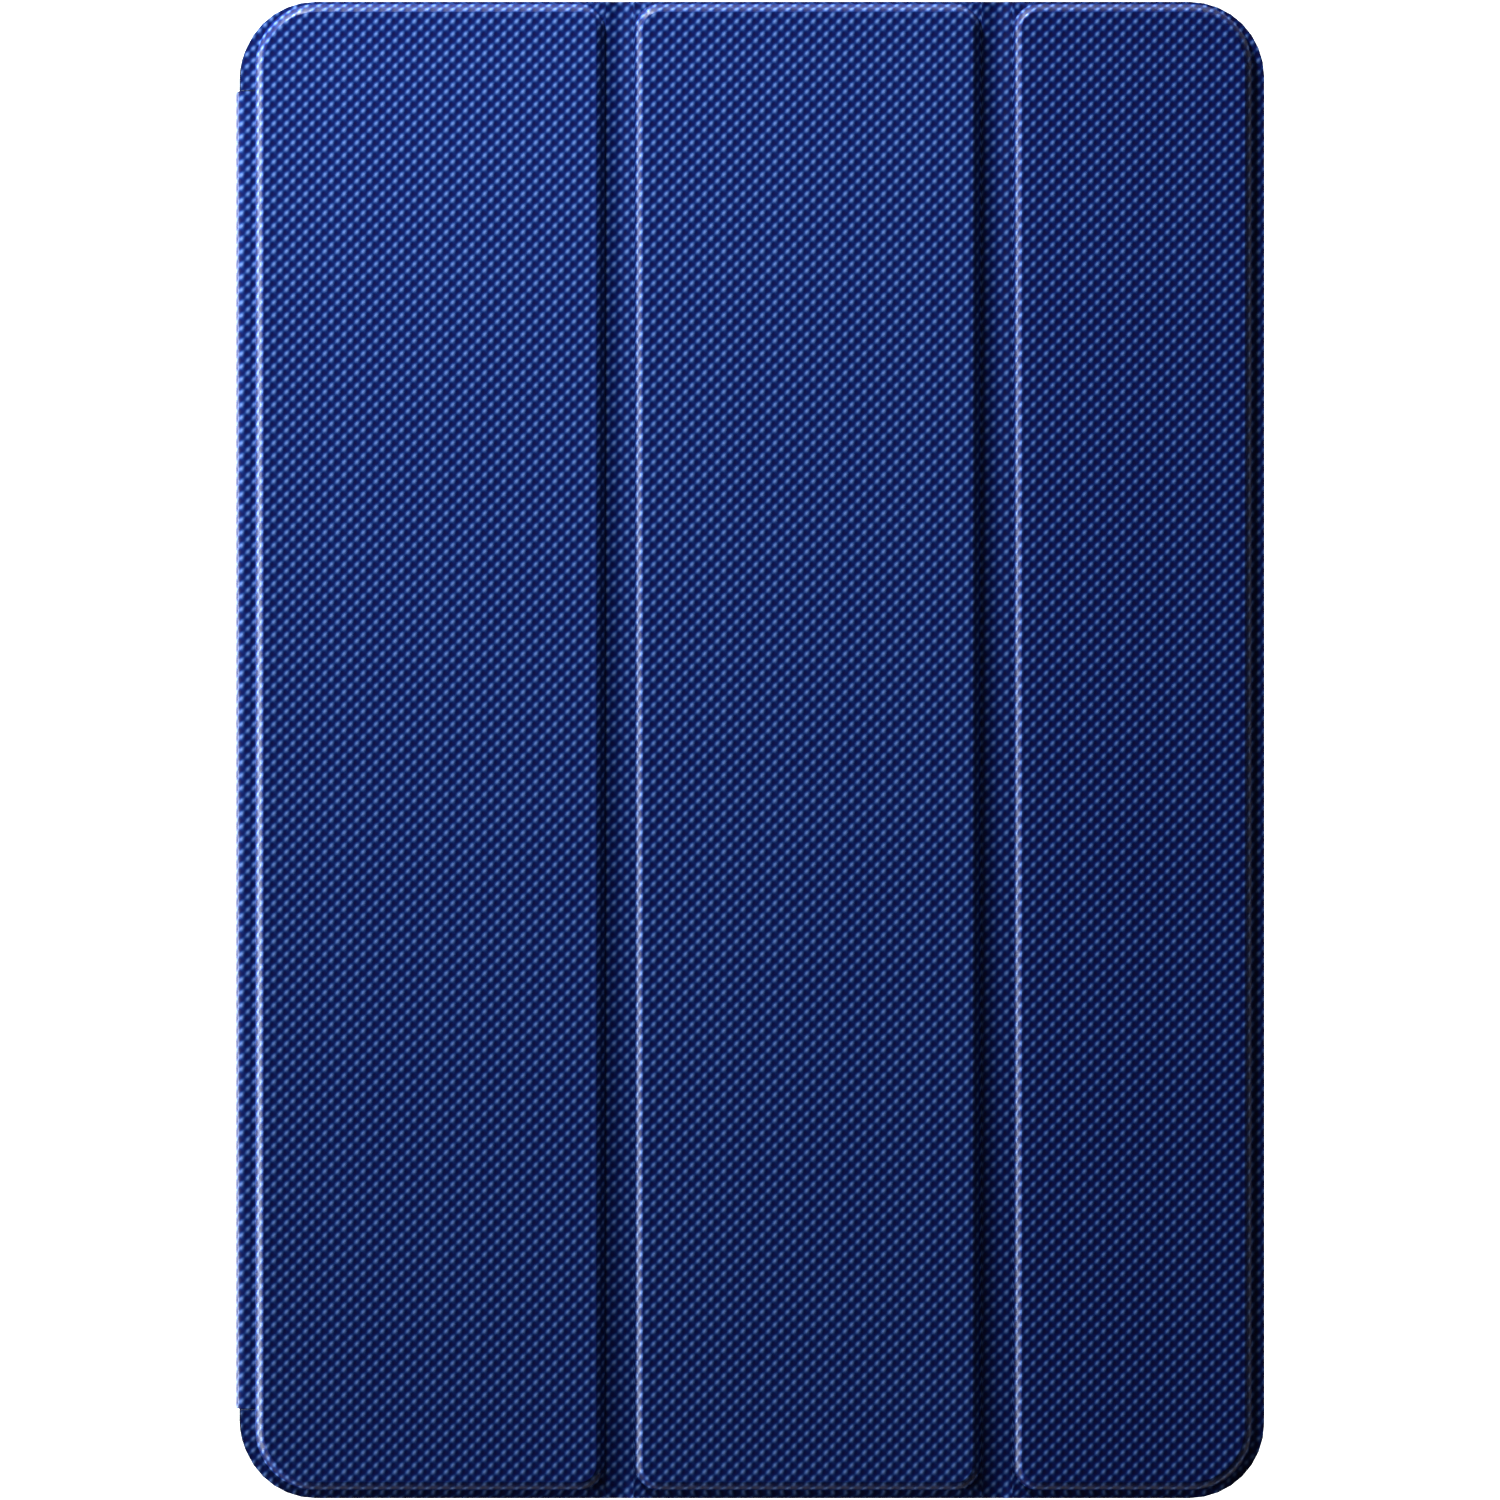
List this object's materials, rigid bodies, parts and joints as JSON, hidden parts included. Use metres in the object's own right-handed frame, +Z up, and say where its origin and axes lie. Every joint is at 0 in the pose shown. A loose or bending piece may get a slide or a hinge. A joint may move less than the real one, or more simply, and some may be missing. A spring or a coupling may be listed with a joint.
{
  "type": "tablet keyboard case",
  "caption": "Tri-fold woven tablet case with a snap-in tray and a slim wireless keyboard held inside the cover by magnets.",
  "frame": {"origin": "centre of the closed case's footprint, at the tray's back face", "axes": "+Z up through the cover, +Y along the tablet's long side, -X towards the spine"},
  "size_m": [0.1412, 0.2054, 0.0205],
  "materials": {
    "woven_skin": "plain weave, pale blue flecks on navy, slight sheen",
    "inner_lining": "short-napped microfibre, matt",
    "stiff_board": "grey fibreboard",
    "adhesive_tape": "thin double-sided film",
    "tray_plastic": "dark navy, satin gloss",
    "magnet_steel": "nickel plated",
    "case_plastic": "fine spark texture",
    "deck_plastic": "soft-touch matt",
    "keycap_plastic": "matt, white legends",
    "plate_steel": "zinc-plated sheet",
    "membrane_film": "printed polyester film",
    "dome_silicone": "milky silicone",
    "battery_foil": "foil pouch",
    "circuit_board": "green solder mask",
    "port_metal": "stamped shell",
    "light_guide": "clear light pipe",
    "soft_rubber": "matt elastomer",
    "screw_steel": "black zinc",
    "switch_plastic": "matt"
  },
  "bodies": {
    "tray": {"tray_shell": "tray_plastic", "back_flap_skin": "woven_skin", "flap_tape": "adhesive_tape", "lower_hinge_strip": "woven_skin"},
    "spine": {"spine_skin": "woven_skin", "spine_stiffener": "stiff_board", "spine_lining": "inner_lining"},
    "panel_1": {"panel_1_skin": "woven_skin", "panel_1_board": "stiff_board", "panel_1_lining": "inner_lining", "panel_1_magnets": "magnet_steel", "upper_hinge_strip": "woven_skin"},
    "panel_2": {"panel_2_skin": "woven_skin", "panel_2_board": "stiff_board", "panel_2_lining": "inner_lining", "near_crease_strip": "woven_skin"},
    "panel_3": {"panel_3_skin": "woven_skin", "panel_3_board": "stiff_board", "panel_3_lining": "inner_lining", "far_crease_strip": "woven_skin", "panel_3_magnets": "magnet_steel", "edge_magnets": "magnet_steel", "wake_magnet": "magnet_steel"},
    "keyboard": {"keyboard_back_case": "case_plastic", "keyboard_deck": "deck_plastic", "base_plate": "plate_steel", "membrane_circuit": "membrane_film", "dome_sheet": "dome_silicone", "battery": "battery_foil", "controller_board": "circuit_board", "charging_port": "port_metal", "status_lights": "light_guide", "screen_bumpers": "soft_rubber", "keyboard_feet": "soft_rubber", "case_screws": "screw_steel", "keyboard_magnets": "magnet_steel", "power_switch_body": "switch_plastic"},
    "switch_knob": {"power_switch_slider": "switch_plastic"},
    "function_keys": {"function_keys": "keycap_plastic"},
    "number_keys": {"number_keys": "keycap_plastic"},
    "backspace_key": {"backspace_key": "keycap_plastic"},
    "tab_key": {"tab_key": "keycap_plastic"},
    "upper_letter_keys": {"upper_letter_keys": "keycap_plastic"},
    "caps_key": {"caps_key": "keycap_plastic"},
    "home_letter_keys": {"home_letter_keys": "keycap_plastic"},
    "enter_key": {"enter_key": "keycap_plastic"},
    "left_shift_key": {"left_shift_key": "keycap_plastic"},
    "lower_letter_keys": {"lower_letter_keys": "keycap_plastic"},
    "right_shift_key": {"right_shift_key": "keycap_plastic"},
    "modifier_keys": {"modifier_keys": "keycap_plastic"},
    "space_bar": {"space_bar": "keycap_plastic"},
    "arrow_keys": {"arrow_keys": "keycap_plastic"}
  },
  "joints": [
    {"name": "spine_fold", "type": "hinge", "parent": "tray", "child": "spine", "pos_m": [-0.0694, 0, 0.0012], "axis": [0, -1, 0], "range_deg": [0, 100], "deforming": ["lower_hinge_strip"]},
    {"name": "cover_fold", "type": "hinge", "parent": "spine", "child": "panel_1", "pos_m": [-0.0694, 0, 0.0173], "axis": [0, -1, 0], "range_deg": [0, 180], "deforming": ["upper_hinge_strip"]},
    {"name": "near_crease_fold", "type": "hinge", "parent": "panel_1", "child": "panel_2", "pos_m": [-0.0179, 0, 0.0199], "axis": [0, -1, 0], "range_deg": [0, 134], "deforming": ["near_crease_strip"]},
    {"name": "far_crease_fold", "type": "hinge", "parent": "panel_2", "child": "panel_3", "pos_m": [0.0339, 0, 0.0199], "axis": [0, -1, 0], "range_deg": [0, 120], "deforming": ["far_crease_strip"]},
    {"name": "keyboard_release", "type": "slide", "parent": "panel_1", "child": "keyboard", "axis": [1, 0, 0], "range_m": [0, 0.15]},
    {"name": "power_switch", "type": "slide", "parent": "keyboard", "child": "switch_knob", "axis": [-1, 0, 0], "range_m": [0, 0.004]},
    {"name": "function_press", "type": "slide", "parent": "keyboard", "child": "function_keys", "axis": [0, 0, 1], "range_m": [0, 0.0012], "stiffness_N_per_m": 200, "deforming": ["dome_sheet"]},
    {"name": "number_press", "type": "slide", "parent": "keyboard", "child": "number_keys", "axis": [0, 0, 1], "range_m": [0, 0.0012], "stiffness_N_per_m": 200, "deforming": ["dome_sheet"]},
    {"name": "backspace_press", "type": "slide", "parent": "keyboard", "child": "backspace_key", "axis": [0, 0, 1], "range_m": [0, 0.0012], "stiffness_N_per_m": 200, "deforming": ["dome_sheet"]},
    {"name": "tab_press", "type": "slide", "parent": "keyboard", "child": "tab_key", "axis": [0, 0, 1], "range_m": [0, 0.0012], "stiffness_N_per_m": 200, "deforming": ["dome_sheet"]},
    {"name": "upper_letter_press", "type": "slide", "parent": "keyboard", "child": "upper_letter_keys", "axis": [0, 0, 1], "range_m": [0, 0.0012], "stiffness_N_per_m": 200, "deforming": ["dome_sheet"]},
    {"name": "caps_press", "type": "slide", "parent": "keyboard", "child": "caps_key", "axis": [0, 0, 1], "range_m": [0, 0.0012], "stiffness_N_per_m": 200, "deforming": ["dome_sheet"]},
    {"name": "home_letter_press", "type": "slide", "parent": "keyboard", "child": "home_letter_keys", "axis": [0, 0, 1], "range_m": [0, 0.0012], "stiffness_N_per_m": 200, "deforming": ["dome_sheet"]},
    {"name": "enter_press", "type": "slide", "parent": "keyboard", "child": "enter_key", "axis": [0, 0, 1], "range_m": [0, 0.0012], "stiffness_N_per_m": 200, "deforming": ["dome_sheet"]},
    {"name": "left_shift_press", "type": "slide", "parent": "keyboard", "child": "left_shift_key", "axis": [0, 0, 1], "range_m": [0, 0.0012], "stiffness_N_per_m": 200, "deforming": ["dome_sheet"]},
    {"name": "lower_letter_press", "type": "slide", "parent": "keyboard", "child": "lower_letter_keys", "axis": [0, 0, 1], "range_m": [0, 0.0012], "stiffness_N_per_m": 200, "deforming": ["dome_sheet"]},
    {"name": "right_shift_press", "type": "slide", "parent": "keyboard", "child": "right_shift_key", "axis": [0, 0, 1], "range_m": [0, 0.0012], "stiffness_N_per_m": 200, "deforming": ["dome_sheet"]},
    {"name": "modifier_press", "type": "slide", "parent": "keyboard", "child": "modifier_keys", "axis": [0, 0, 1], "range_m": [0, 0.0012], "stiffness_N_per_m": 200, "deforming": ["dome_sheet"]},
    {"name": "space_bar_press", "type": "slide", "parent": "keyboard", "child": "space_bar", "axis": [0, 0, 1], "range_m": [0, 0.0012], "stiffness_N_per_m": 200, "deforming": ["dome_sheet"]},
    {"name": "arrow_press", "type": "slide", "parent": "keyboard", "child": "arrow_keys", "axis": [0, 0, 1], "range_m": [0, 0.0012], "stiffness_N_per_m": 200, "deforming": ["dome_sheet"]}
  ]
}
